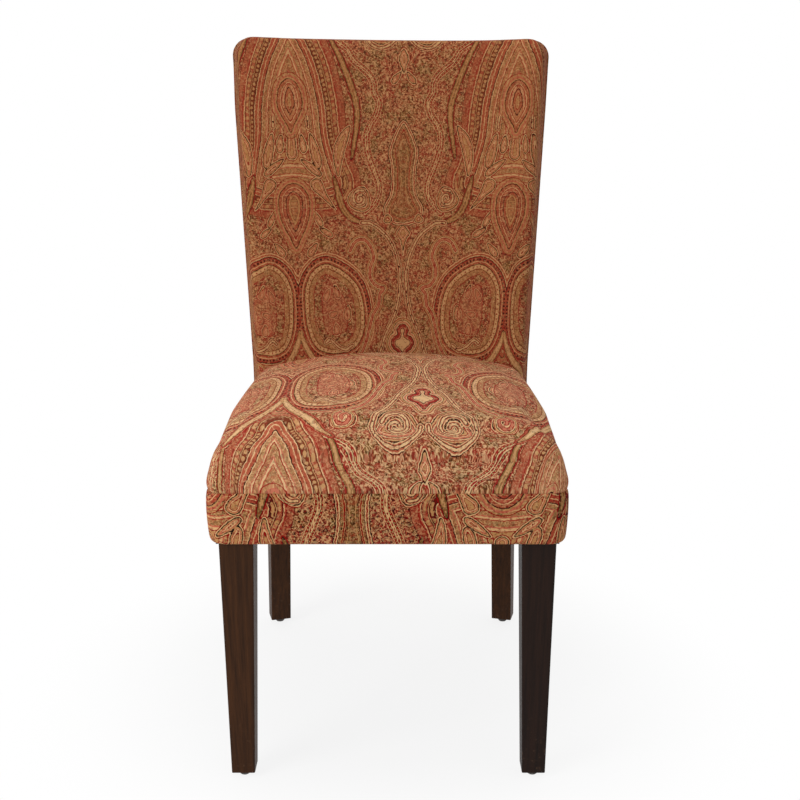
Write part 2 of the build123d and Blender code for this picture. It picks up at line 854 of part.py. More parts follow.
def seat_dome(inset, base):
    """The crowned part of the seat with its outside set in, up to the front of the back."""
    roll = seat_front_roll - inset
    rise = seat_height - seat_front_wall
    crown = crown_radius(seat_crown_distance, seat_front_roll, rise)
    last_turn = atan2(crown - rise, seat_crown_distance - seat_front_roll)
    front_stations = []
    for step in range(roll_steps + 1):
        turn = last_turn * step / roll_steps
        front_stations.append((seat_front_roll - roll * cos(turn), seat_front_wall + roll * sin(turn)))
    crown_stations = []
    roll_end = front_stations[-1][0]
    for step in range(crown_steps + 1):
        along = roll_end + (seat_rear - seat_front - roll_end) * step / crown_steps
        drop = crown - sqrt((crown - inset) ** 2 - (along - seat_crown_distance) ** 2)
        crown_stations.append((along, seat_height - drop))
    corner = seat_corner_radius - inset
    with BuildPart() as dome:
        for stations in (front_stations, crown_stations):
            for along, height in stations:
                y = seat_front + along
                half = seat_half(y) - inset
                if along < seat_corner_radius:
                    half = half - corner + sqrt(max(0, corner**2 - (seat_corner_radius - along) ** 2))
                right = arch_points(half, height, inset)
                left = [Vector(-point.X, point.Y) for point in right]
                with BuildSketch(Plane(origin=(0, y, 0), x_dir=(1, 0, 0), z_dir=(0, -1, 0))):
                    with BuildLine():
                        Polyline(left[0], (-half, base), (half, base), right[0])
                        ThreePointArc(right[0], right[1], right[2])
                        ThreePointArc(right[2], right[3], left[2])
                        ThreePointArc(left[2], left[1], left[0])
                    make_face()
            loft()
    return dome.part


with BuildPart() as seat_cover:
    add(seat_dome(0, seam_height))
    add(seat_dome(cover_thickness, seam_height - cover_thickness), mode=Mode.SUBTRACT)
    add(back_clearance, mode=Mode.SUBTRACT)
save(seat_cover.part, "seat_cover")

with BuildPart() as seat_foam:
    add(seat_dome(padding_inset + 2 * soft_gap, foam_base))
    add(back_clearance, mode=Mode.SUBTRACT)
save(seat_foam.part, "seat_foam")

# Dust cover, a thin sheet stapled under the seat frame and notched round the legs
with BuildPart() as dust_cover:
    margin = border_lean + dust_cover_margin
    sheet_front = seat_front + margin
    with BuildSketch(Plane.XY.offset(seat_bottom - dust_cover_thickness)):
        with BuildLine():
            Polyline(
                (margin - seat_half(sheet_front), sheet_front),
                (seat_half(sheet_front) - margin, sheet_front),
                (seat_half(seat_rear) - margin, seat_rear + 2 * post_depth),
                (margin - seat_half(seat_rear), seat_rear + 2 * post_depth),
                close=True,
            )
        make_face()
        with Locations((0, axis_y)):
            Circle(rear_low - dust_cover_margin, mode=Mode.INTERSECT)
        for notch in leg_notches(dust_cover_leg_gap):
            with BuildLine():
                Polyline(*notch, close=True)
            make_face(mode=Mode.SUBTRACT)
    extrude(amount=dust_cover_thickness)
save(dust_cover.part, "dust_cover")
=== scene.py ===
import math

import bmesh
import bpy
import numpy as np
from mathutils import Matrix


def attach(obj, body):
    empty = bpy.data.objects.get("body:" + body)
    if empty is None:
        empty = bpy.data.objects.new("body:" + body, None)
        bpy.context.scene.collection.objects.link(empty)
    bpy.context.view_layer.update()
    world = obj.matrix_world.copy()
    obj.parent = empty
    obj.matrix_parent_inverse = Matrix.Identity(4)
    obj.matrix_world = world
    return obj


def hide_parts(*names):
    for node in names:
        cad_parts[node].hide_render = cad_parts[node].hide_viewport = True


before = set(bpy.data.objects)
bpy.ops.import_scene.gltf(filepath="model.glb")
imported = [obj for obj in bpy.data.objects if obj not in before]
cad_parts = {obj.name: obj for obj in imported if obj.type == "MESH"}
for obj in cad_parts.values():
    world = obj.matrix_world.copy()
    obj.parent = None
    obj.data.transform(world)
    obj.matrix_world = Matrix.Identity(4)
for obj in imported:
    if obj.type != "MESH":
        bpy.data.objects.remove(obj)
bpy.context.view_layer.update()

# ---- Studio -----------------------------------------------------------------------------------
# A pale floor in a white room, with a lamp like a window at the front left and a broad one overhead.
# The camera stands in front of the chair, a little above the seat and tilted down to it.
scene = bpy.context.scene
scene.view_settings.view_transform = "Standard"
white = (1.0, 1.0, 1.0, 1.0)


def add(tree, kind, inputs=None, **settings):
    """Places one shader node; an input is given a plain value or linked to another node's output."""
    made = tree.nodes.new(kind)
    for name, value in settings.items():
        setattr(made, name, value)
    for socket, value in (inputs or {}).items():
        if isinstance(value, bpy.types.NodeSocket):
            tree.links.new(value, made.inputs[socket])
        else:
            made.inputs[socket].default_value = value
    return made


def noise(tree, place, scale, detail, roughness=0.5):
    """A cloudy value between 0 and 1."""
    inputs = {"Vector": place, "Scale": scale, "Detail": detail, "Roughness": roughness}
    return add(tree, "ShaderNodeTexNoise", inputs).outputs["Fac"]


def ranged(tree, value, low, high, start=0.0, end=1.0, **settings):
    """Runs from start to end while a value runs from low to high."""
    inputs = {0: value, 1: low, 2: high, 3: start, 4: end}
    return add(tree, "ShaderNodeMapRange", inputs, **settings).outputs[0]


def reckoned(tree, operation, first, second=0.0):
    """A sum, a product or the like of one or two values."""
    return add(tree, "ShaderNodeMath", {0: first, 1: second}, operation=operation).outputs[0]


def mixed(tree, share, first, second):
    """The first colour with a share of the second over it."""
    return add(tree, "ShaderNodeMix", {0: share, 6: first, 7: second}, data_type="RGBA").outputs[2]


def seen_directly(tree):
    """1 for what the camera sees, itself or in a reflection, and 0 for light on its way round the room."""
    rays = add(tree, "ShaderNodeLightPath").outputs
    seen = reckoned(tree, "MAXIMUM", rays["Is Camera Ray"], rays["Is Glossy Ray"])
    return reckoned(tree, "MAXIMUM", seen, rays["Is Transmission Ray"])


def new_material(name):
    """A fresh material, its node tree and its shader."""
    made = bpy.data.materials.new(name)
    made.use_nodes = True
    return made, made.node_tree, made.node_tree.nodes["Principled BSDF"]


def place_on(tree):
    """The place on the object, in metres of the shared frame."""
    return add(tree, "ShaderNodeTexCoord").outputs["Object"]


room = bpy.data.worlds.new("white_room")
scene.world = room
room.use_nodes = True
tree = room.node_tree
backdrop = tree.nodes["Background"]
backdrop.inputs["Color"].default_value = white
tree.links.new(ranged(tree, seen_directly(tree), 0.0, 1.0, 0.5, 1.0), backdrop.inputs["Strength"])

shape = bmesh.new()
bmesh.ops.create_grid(shape, x_segments=1, y_segments=1, size=9.0)
mesh = bpy.data.meshes.new("floor")
shape.to_mesh(mesh)
shape.free()
floor = bpy.data.objects.new("floor", mesh)
scene.collection.objects.link(floor)
pale, tree, shader = new_material("pale_floor")
where = place_on(tree)
tone = ranged(tree, noise(tree, where, 9.0, 4.0), 0.0, 1.0, 0.86, 0.9)
tree.links.new(tone, shader.inputs["Base Color"])
shader.inputs["Roughness"].default_value = 0.9
# Round the chair the floor keeps its shadow; further off it fades into the white of the room.
reach = add(tree, "ShaderNodeVectorMath", {0: where}, operation="LENGTH").outputs["Value"]
away = ranged(tree, reach, 0.25, 0.62, 0.84, 1.0, interpolation_type="SMOOTHSTEP")
away = reckoned(tree, "MULTIPLY", away, seen_directly(tree))
glow = add(tree, "ShaderNodeEmission", {"Color": white, "Strength": 1.0})
faded = add(tree, "ShaderNodeMixShader", {0: away, 1: shader.outputs[0], 2: glow.outputs[0]})
tree.links.new(faded.outputs[0], tree.nodes["Material Output"].inputs["Surface"])
mesh.materials.append(pale)

for name, place, aim, size, power in (
    ("window_lamp", (-1.55, -1.4, 1.1), (0.0, -0.25, 0.45), 1.0, 20.0),
    ("ceiling_lamp", (0.0, 0.05, 2.4), (0.0, 0.0, 0.4), 1.4, 13.0),
):
    lamp = bpy.data.lights.new(name, "AREA")
    lamp.size = size
    lamp.energy = power
    stand = bpy.data.objects.new(name, lamp)
    stand.location = place
    east, north, rise = np.array(aim) - np.array(place)
    tilt, turn = math.atan2(math.hypot(east, north), -rise), math.atan2(north, east)
    stand.rotation_euler = (tilt, 0, turn - math.pi / 2)
    scene.collection.objects.link(stand)

lens = bpy.data.cameras.new("camera")
lens.lens = 48.34
lens.sensor_width = 36.0
lens.shift_y = 0.1006
camera = bpy.data.objects.new("camera", lens)
camera.location = (0.016, -1.6027, 0.848)
look_down = 17.79
camera.rotation_euler = (math.radians(90 - look_down), 0, 0)
scene.collection.objects.link(camera)
scene.camera = camera

# ---- Seat frame and back frame ------------------------------------------------------------------
# Rails, corner blocks and dowels of pale bare hardwood, sawn and glued up, hidden by the upholstery.
# The grain runs along each rail, and its pores are open.


def paint(red, green, blue):
    """A colour as it looks, 0 to 255, turned into the linear values that the shaders use."""
    shares = [c / 255 for c in (red, green, blue)]
    return tuple(s / 12.92 if s < 0.0404 else ((s + 0.055) / 1.055) ** 2.4 for s in shares) + (1.0,)


def sockets(group, way, **kinds):
    """Gives a node group its inputs or outputs."""
    for name, kind in kinds.items():
        group.interface.new_socket(name, in_out=way, socket_type="NodeSocket" + kind)


def surface(shader, colour, roughness, relief=None):
    """Links a material's colour, roughness and relief to its shader."""
    for socket, value in (("Base Color", colour), ("Roughness", roughness), ("Normal", relief)):
        if value is not None:
            shader.id_data.links.new(value, shader.inputs[socket])


def bumps(tree, height, strength, depth, **settings):
    """Fine relief from a height between 0 and 1."""
    inputs = {"Strength": strength, "Distance": depth, "Height": height}
    return add(tree, "ShaderNodeBump", inputs, **settings).outputs[0]


grain = bpy.data.node_groups.new("wood_grain", "ShaderNodeTree")
sockets(grain, "INPUT", Place="Vector", Light="Color", Dark="Color")
sockets(grain, "OUTPUT", Color="Color", Pores="Float")
inside = add(grain, "NodeGroupInput").outputs
outside = add(grain, "NodeGroupOutput").inputs
drift = add(grain, "ShaderNodeTexNoise", {"Vector": inside["Place"], "Scale": 0.35, "Detail": 3.0})
sway = add(grain, "ShaderNodeVectorMath", {0: drift.outputs["Color"], "Scale": 1.6}, operation="SCALE")
bent = add(grain, "ShaderNodeVectorMath", {0: inside["Place"], 1: sway.outputs[0]}, operation="ADD").outputs[0]
streaks = ranged(grain, noise(grain, bent, 1.3, 5.0, 0.62), 0.32, 0.68)
pores = ranged(grain, noise(grain, bent, 7.0, 2.0), 0.56, 0.7)
figured = mixed(grain, streaks, inside["Light"], inside["Dark"])
figured = mixed(grain, reckoned(grain, "MULTIPLY", pores, 0.45), figured, inside["Dark"])
grain.links.new(figured, outside["Color"])
grain.links.new(pores, outside["Pores"])


def wood(name, along, light, dark, roughness, bump):
    """Wood whose grain runs along one axis; along gives the grain's pitch on x, y and z."""
    made, tree, shader = new_material(name)
    where = place_on(tree)
    pitch = add(tree, "ShaderNodeMapping", {"Vector": where, "Scale": along}).outputs[0]
    inputs = {"Place": pitch, "Light": light, "Dark": dark}
    figure = add(tree, "ShaderNodeGroup", inputs, node_tree=grain).outputs
    rough = ranged(tree, figure["Pores"], 0.0, 1.0, roughness, roughness + 0.16)
    surface(shader, figure["Color"], rough, bumps(tree, figure["Pores"], bump, 0.0004, invert=True))
    return made, tree, shader, where, figure["Color"]


def dress(nodes, made):
    """Gives CAD nodes a finish in their own material slots."""
    for node in nodes:
        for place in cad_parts[node].material_slots:
            place.material = made


pale_wood, sawn_wood = paint(196, 160, 118), paint(168, 128, 88)
dress(["front_rail", "rear_rail", "back_lower_rail", "back_top_rail"],
      wood("bare_hardwood_across", (9.0, 120.0, 120.0), pale_wood, sawn_wood, 0.68, 0.5)[0])
dress(["side_rail_left", "side_rail_right"],
      wood("bare_hardwood_lengthwise", (120.0, 9.0, 120.0), pale_wood, sawn_wood, 0.68, 0.5)[0])
dress(["corner_block_" + corner for corner in ("front_left", "front_right", "rear_left", "rear_right")],
      wood("bare_hardwood_blocks", (60.0, 60.0, 130.0), pale_wood, sawn_wood, 0.72, 0.6)[0])
dress(["seat_frame_dowels", "back_frame_dowels"],
      wood("birch_dowels", (70.0, 70.0, 70.0), paint(206, 176, 136), paint(180, 144, 104), 0.6, 0.5)[0])

# ---- Corner block screws ------------------------------------------------------------------------
# Zinc-plated wood screws that pull the corner blocks into the rails.
# The plating is dull and blotched, with a little yellow passivation.
zinc, tree, shader = new_material("zinc_plate")
where = place_on(tree)
blotch = noise(tree, where, 260.0, 4.0)
plate = mixed(tree, blotch, paint(176, 174, 166), paint(150, 142, 122))
surface(shader, plate, ranged(tree, blotch, 0.0, 1.0, 0.3, 0.5))
shader.inputs["Metallic"].default_value = 1.0
dress(["corner_block_screws"], zinc)

# ---- Legs and posts -----------------------------------------------------------------------------
# Front legs and one-plank rear posts of hardwood, tapered to the foot, stained nearly black brown
# under satin lacquer. The lacquer is scuffed a little near the floor and lets the grain show. The right
# front leg has a darker copy of the same stain: painted shade, as that leg gets less of the window lamp's
# light.
for name, nodes, light, dark in (
    ("dark_stained_wood", ["front_leg_left", "rear_post_left", "rear_post_right"],
     paint(71, 42, 21), paint(44, 25, 12)),
    # Painted shade: a darker copy of the stain for the right front leg.
    ("painted_shade_stained_wood", ["front_leg_right"], paint(42, 26, 19), paint(27, 17, 13)),
):
    stained, tree, shader, where, figured = wood(name, (150.0, 150.0, 7.0), light, dark, 0.48, 0.25)
    height = add(tree, "ShaderNodeSeparateXYZ", {0: where}).outputs["Z"]
    marks = ranged(tree, noise(tree, where, 120.0, 6.0, 0.7), 0.58, 0.7)
    scuff = reckoned(tree, "MULTIPLY", ranged(tree, height, 0.11, 0.008), marks)
    worn = mixed(tree, reckoned(tree, "MULTIPLY", scuff, 0.5), figured, paint(104, 78, 58))
    tree.links.new(worn, shader.inputs["Base Color"])
    shader.inputs["Specular IOR Level"].default_value = 0.1
    shader.inputs["Coat Weight"].default_value = 0.02
    shader.inputs["Coat Roughness"].default_value = 0.3
    dress(nodes, stained)

# ---- Glides -------------------------------------------------------------------------------------
# Moulded dark plastic buttons, each nailed under a foot through its middle.
# The face that meets the floor is rubbed paler than the rim.
plastic, tree, shader = new_material("moulded_plastic")
where = place_on(tree)
height = add(tree, "ShaderNodeSeparateXYZ", {0: where}).outputs["Z"]
fleck = noise(tree, where, 700.0, 3.0)
moulded = mixed(tree, fleck, paint(38, 33, 30), paint(56, 49, 44))
faced = mixed(tree, ranged(tree, height, 0.0025, 0.0), moulded, paint(92, 84, 76))
surface(shader, faced, ranged(tree, fleck, 0.0, 1.0, 0.42, 0.62))
dress(["glide_front_left", "glide_front_right", "glide_rear_left", "glide_rear_right"], plastic)

# ---- Webbing ------------------------------------------------------------------------------------
# Elastic straps, interlaced under the seat foam and stretched across the back frame.
# Each strap is a coarse weave of dark and paler threads.
elastic, tree, shader = new_material("elastic_webbing")
where = place_on(tree)
weave = {"Vector": where, "Scale": 160.0, "Distortion": 0.4}
weft, warp = (add(tree, "ShaderNodeTexWave", weave, bands_direction=way).outputs["Fac"] for way in "XY")
cross = reckoned(tree, "MULTIPLY", weft, warp)
strap = mixed(tree, cross, paint(44, 38, 34), paint(92, 80, 66))
surface(shader, strap, ranged(tree, cross, 0.0, 1.0, 0.9, 0.75), bumps(tree, cross, 0.6, 0.0005))
dress(["seat_webbing_lengthwise", "seat_webbing_crosswise", "back_webbing"], elastic)

# ---- Seat cushion -------------------------------------------------------------------------------
# A thick foam pad under the seat's top cover: crowned, rolled over at the front and sides, and sewn
# to the border at the seam. The cover is a woven paisley in rust, tan and olive, cut on the straight.
seat_front, seat_rear, seat_half_front, seat_half_rear = -0.325, 0.12785, 0.232, 0.217
seam_height, wall_top, roll = 0.420, 0.463, 0.039
back_axis, back_low_front = -0.68963, 0.80997


def applied(piece):
    """Turns what the modifiers show into the piece's own mesh."""
    shown = piece.evaluated_get(bpy.context.evaluated_depsgraph_get())
    fixed = bpy.data.meshes.new_from_object(shown)
    piece.modifiers.clear()
    piece.data = fixed
    return piece


def coordinates(mesh):
    """The mesh's points as rows of x, y and z."""
    flat = np.empty(len(mesh.vertices) * 3)
    mesh.vertices.foreach_get("co", flat)
    return flat.reshape(-1, 3)


def outward(mesh):
    """The mesh's point normals."""
    flat = np.empty(len(mesh.vertices) * 3)
    mesh.vertices.foreach_get("normal", flat)
    return flat.reshape(-1, 3)


def reshape(mesh, points):
    """Moves the mesh's points."""
    mesh.vertices.foreach_set("co", np.ascontiguousarray(points).ravel())
    mesh.update()


def padding(name, node, voxel):
    """A fresh piece with a CAD pad's shape, in even quads."""
    piece = bpy.data.objects.new(name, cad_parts[node].data.copy())
    scene.collection.objects.link(piece)
    even = piece.modifiers.new("even", "REMESH")
    even.mode = "VOXEL"
    even.voxel_size = voxel
    applied(piece)
    calm = piece.modifiers.new("calm", "SMOOTH")
    calm.factor = 0.5
    calm.iterations = 4
    applied(piece)
    return piece


def finer(piece):
    """Splits each face in four, smoothly."""
    fine = piece.modifiers.new("fine", "SUBSURF")
    fine.levels = fine.render_levels = 1
    return applied(piece)


def stuffed(piece, held, shrink, lift, swell, draw_in):
    """Blows a pad up under its cover. Held points stay. The others start shrunk, and the pressure may
    swell them or draw them in so far. Gives back where the finer mesh's points lay before it."""
    pressure, steps, slip = 4.0, 20, 0.002
    mesh = piece.data
    rest, normal = coordinates(mesh), outward(mesh)
    free = ~held
    finer(piece)
    flat = coordinates(piece.data)
    piece.data = mesh
    start = rest.copy()
    start[free] -= normal[free] * shrink
    reshape(mesh, start)
    pins = piece.vertex_groups.new(name="held")
    pins.add(np.flatnonzero(held).tolist(), 1.0, "REPLACE")
    cloth = piece.modifiers.new("cover", "CLOTH")
    feel = cloth.settings
    feel.quality = 5
    feel.mass = 0.3
    feel.tension_stiffness = feel.compression_stiffness = 15.0
    feel.shear_stiffness = 5.0
    feel.bending_stiffness = 0.5
    feel.use_pressure = True
    feel.uniform_pressure_force = pressure
    feel.effector_weights.gravity = 0.0
    feel.vertex_group_mass = "held"
    cloth.point_cache.frame_start, cloth.point_cache.frame_end = 1, steps
    for step in range(1, steps + 1):
        scene.frame_set(step)
    applied(piece)
    scene.frame_set(1)
    mesh = piece.data
    moved = coordinates(mesh) - rest
    along = (moved * normal).sum(axis=1)
    aside = moved - along[:, None] * normal
    aside *= np.minimum(1, slip / np.maximum(np.linalg.norm(aside, axis=1), 1e-9))[:, None]
    along = np.clip(along, -draw_in, swell)
    piece.vertex_groups.clear()
    reshape(mesh, rest + normal * (along + lift * free)[:, None] + aside)
    calm = piece.modifiers.new("calm", "SMOOTH")
    calm.factor = 0.5
    calm.iterations = 2
    finer(piece)
    piece.data.polygons.foreach_set("use_smooth", [True] * len(piece.data.polygons))
    return flat


def drawn(points, closed=False):
    """A smooth line through a motif's corner points, in millimetres of cloth."""
    p = np.array(points, float)
    if closed:
        p = np.vstack([p[-1:], p, p[:2]])
    else:
        p = np.vstack([2 * p[:1] - p[1:2], p, 2 * p[-1:] - p[-2:-1]])
    t = np.linspace(0, 1, 7)[:-1, None]
    line = [0.5 * (2 * b + (c - a) * t + (2 * a - 5 * b + 4 * c - d) * t**2 + (3 * b - a - 3 * c + d) * t**3)
            for a, b, c, d in zip(p, p[1:], p[2:], p[3:])]
    return np.vstack(line + ([] if closed else [p[-2:-1]]))


def paired(points, axis):
    """A motif that is the same on both sides of a pattern axis, from its one half."""
    return points + [(2 * axis - u, v) for u, v in reversed(points) if abs(u - axis) > 0.5]


def petal(u, v, wide, tall, lean):
    """A leaf-shaped petal round (u, v)."""
    cos, sin = math.cos(math.radians(lean)), math.sin(math.radians(lean))
    around = np.linspace(0, 2 * math.pi, 12, endpoint=False)
    ring = [(wide * math.sin(a) * (1 - 0.35 * math.cos(a)), tall * math.cos(a)) for a in around]
    return [(u + x * cos - y * sin, v + x * sin + y * cos) for x, y in ring]


def blade(points, wide):
    """A long narrow leaf round a line, pointed at both ends."""
    p = np.array(points, float)
    way = np.gradient(p, axis=0)
    side = np.column_stack([-way[:, 1], way[:, 0]]) / np.linalg.norm(way, axis=1)[:, None]
    side *= wide * np.sqrt(np.sin(np.linspace(0.04, math.pi - 0.04, len(p))))[:, None]
    return np.vstack([p + side, (p - side)[::-1]]).tolist()


def curl(u, v, outer, inner, turns, start, way):
    """A scroll that winds in round (u, v)."""
    steps = np.linspace(0, 1, int(turns * 10) + 1)
    reach, turned = outer + (inner - outer) * steps, start + way * 2 * math.pi * turns * steps
    return np.column_stack([u + reach * np.cos(turned), v + reach * np.sin(turned)]).tolist()


# The pattern repeats every 565 mm along the cloth and mirrors about axes 190 mm apart: u runs from
# the middle axis to the side axis, v along the cloth from the large ovals' centres. Each motif has
# the middle of its run along the cloth, whether its lines close, and its lines.
half_repeat, repeat, far = 190.0, 565.0, 64.0
motifs = {
    "arch": (330.0, True, [paired([(190, 456), (184, 444), (178, 432), (171, 418), (164, 402), (157, 383),
        (151, 362), (146, 338), (143, 316), (142, 296), (139, 272), (133, 248), (125, 222), (119, 203),
        (150, 196), (190, 200)], 190)]),
    "stripe": (150.0, True, [blade([(126, 448), (121, 434), (110, 412), (100, 390), (91, 368), (84, 348),
        (79, 330), (78, 312), (80, 290), (85, 262), (88, 246)], 4.2), blade([(119, 216), (115, 200),
        (111, 184), (106, 169), (95, 154), (80, 146), (66, 142)], 4.6)]),
    "tail": (-80.0, True, [blade([(188, -30), (186, -44), (180, -58), (170, -74), (153, -93), (135, -111),
        (119, -128)], 4.8)]),
    "wave": (300.0, False, [[(126, 436), (112, 428), (94, 416), (83, 398), (60, 379), (50, 364), (49, 349),
        (41, 333), (46, 314), (57, 297), (63, 279), (61, 257), (57, 243), (50, 226), (43, 208), (42, 191),
        (50, 174), (66, 158)]]),
    "leaf": (200.0, True, [[(90, 297), (100, 291), (110, 280), (117, 264), (119, 244), (115, 222),
        (110, 217), (106, 234), (100, 256), (93, 278)], [(160, 206), (152, 213), (142, 211), (137, 200),
        (131, 186), (121, 171), (117, 163), (132, 175), (146, 187), (157, 196)], paired([(190, 288),
        (184, 284), (182, 264), (181, 251), (184, 245), (190, 243)], 190), paired([(0, 141), (7, 134),
        (12, 126), (6, 117), (2, 104), (0, 90)], 0), paired([(0, 418), (6, 409), (8, 400), (4, 388),
        (0, 378)], 0), petal(151, 257, 8, 29, -14), petal(171, 268, 6, 15, -8), petal(158, 231, 6, 22, -53),
        petal(12, 372, 5, 12, 38), petal(138, 27, 5, 12, 28), petal(120, 33, 5, 12, -18),
        petal(101, -2, 7, 13, 6), petal(126, -4, 5, 9, 70), petal(122, -28, 6, 10, 0),
        petal(150, 150, 5, 16, -30), petal(136, 128, 5, 14, -60), petal(160, 100, 6, 14, 40)]),
    "drop": (120.0, True, [paired([(190, 369), (180, 364), (173, 353), (170, 340), (170, 325), (177, 309),
        (184, 298), (190, 286)], 190), paired([(190, 205), (176, 200), (165, 186), (163, 168), (165, 152),
        (172, 134), (181, 118), (190, 103)], 190), paired([(190, -46), (183, -55), (184, -66), (190, -72)],
        190)]),
    "oval": (0.0, True, [[(136, 76), (160, 66), (175, 42), (178, 11), (175, -27), (162, -56), (138, -67),
        (112, -66), (92, -60), (77, -43), (71, -21), (72, 9), (81, 39), (102, 61)]]),
    "spire": (220.0, True, [paired([(0, 302), (5, 296), (10, 287), (17, 271), (21, 256), (19, 241),
        (17, 225), (17, 200), (21, 183), (30, 167), (28, 152), (14, 145), (0, 143)], 0)]),
    "ring": (40.0, True, [petal(36, -113, 31, 29, 0), petal(75, 182, 20, 21, 20),
        petal(103, -98, 16, 15, 0), petal(27, 150, 8, 8, 0)]),
    "heart": (-50.0, True, [paired([(0, -20), (7, -23), (11, -30), (9, -38), (17, -42), (21, -52),
        (16, -61), (9, -66), (4, -76), (0, -84)], 0)]),
    "ribbon": (20.0, False, [[(94, 98), (84, 113), (69, 116), (58, 106), (52, 88), (58, 72), (58, 54),
        (48, 42), (34, 38), (41, 29), (44, 11), (54, -5), (60, -24), (68, -50), (80, -72), (95, -82)],
        curl(103, -98, 12, 3, 1.3, 1.2, -1)]),
    "line": (30.0, False, [[(73, 143), (54, 141), (29, 122), (15, 98), (8, 76), (5, 57), (7, 29), (11, 8),
        (19, -14), (31, -36), (40, -62), (50, -82), (62, -96), (67, -114), (60, -134), (42, -146),
        (22, -141), (8, -126), (5, -110)], curl(36, -113, 20, 4, 1.4, 0.4, 1),
        curl(75, 182, 14, 3, 1.4, 2.0, -1), [(143, -50), (136, -45), (129, -49), (120, -57), (106, -62),
        (94, -55)], [(190, 392), (180, 376), (170, 358), (164, 336), (161, 312), (160, 294)]]),
}
drawings = {name: (middle, closed, [drawn(points, closed) for points in shapes])
            for name, (middle, closed, shapes) in motifs.items()}


def print_cloth(piece, u, v):
    """Writes each point's place on the cloth, and how far it is from the pattern's motifs, to the mesh."""
    mesh = piece.data
    cloth = mesh.attributes.new("cloth", "FLOAT_VECTOR", "POINT")
    cloth.data.foreach_set("vector", np.column_stack([u, v, np.zeros_like(u)]).ravel())
    across = np.abs((1000 * u + half_repeat) % (2 * half_repeat) - half_repeat)
    for name, (middle, closed, lines) in drawings.items():
        down = (1000 * v - middle + repeat / 2) % repeat - repeat / 2 + middle
        nearest = np.full(len(across), -far if closed else far)
        run = np.zeros(len(across))
        for line in lines:
            low, high = line.min(axis=0) - far, line.max(axis=0) + far
            close = (across > low[0]) & (across < high[0]) & (down > low[1]) & (down < high[1])
            close = np.flatnonzero(close)
            if not len(close):
                continue
            a, b = across[close], down[close]
            ends = np.roll(line, -1, axis=0) if closed else line[1:]
            gap, along, within = np.full(len(a), far), np.zeros(len(a)), np.zeros(len(a), bool)
            done = 0.0
            for (x0, y0), (x1, y1) in zip(line, ends):
                dx, dy = x1 - x0, y1 - y0
                size = max(math.hypot(dx, dy), 1e-6)
                t = np.clip(((a - x0) * dx + (b - y0) * dy) / size**2, 0, 1)
                d = np.hypot(a - x0 - t * dx, b - y0 - t * dy)
                along = np.where(d < gap, done + t * size, along)
                gap = np.minimum(gap, d)
                if closed and y0 != y1:
                    within ^= ((y0 > b) != (y1 > b)) & (a < dx * (b - y0) / dy + x0)
                done += size
            if closed:
                gap = np.where(within, gap, -gap)
                better = gap > nearest[close]
            else:
                better = gap < nearest[close]
            nearest[close] = np.where(better, gap, nearest[close])
            run[close] = np.where(better, along, run[close])
        field = mesh.attributes.new(name, "FLOAT", "POINT")
        field.data.foreach_set("value", nearest)
        if name in spot_rows:
            length = mesh.attributes.new(name + "_run", "FLOAT", "POINT")
            length.data.foreach_set("value", run)


rust, brick, tan, sand = paint(176, 94, 68), paint(156, 56, 44), paint(194, 148, 102), paint(218, 180, 136)
cocoa, olive, rose, walnut = paint(74, 36, 22), paint(148, 108, 66), paint(196, 118, 92), paint(126, 66, 42)
bare = (0.0, 0.0, 0.0, 0.0)
faint_tan, faint_rose, faint_rust = tan[:3] + (0.5,), rose[:3] + (0.4,), rust[:3] + (0.7,)
faint_olive = olive[:3] + (0.45,)
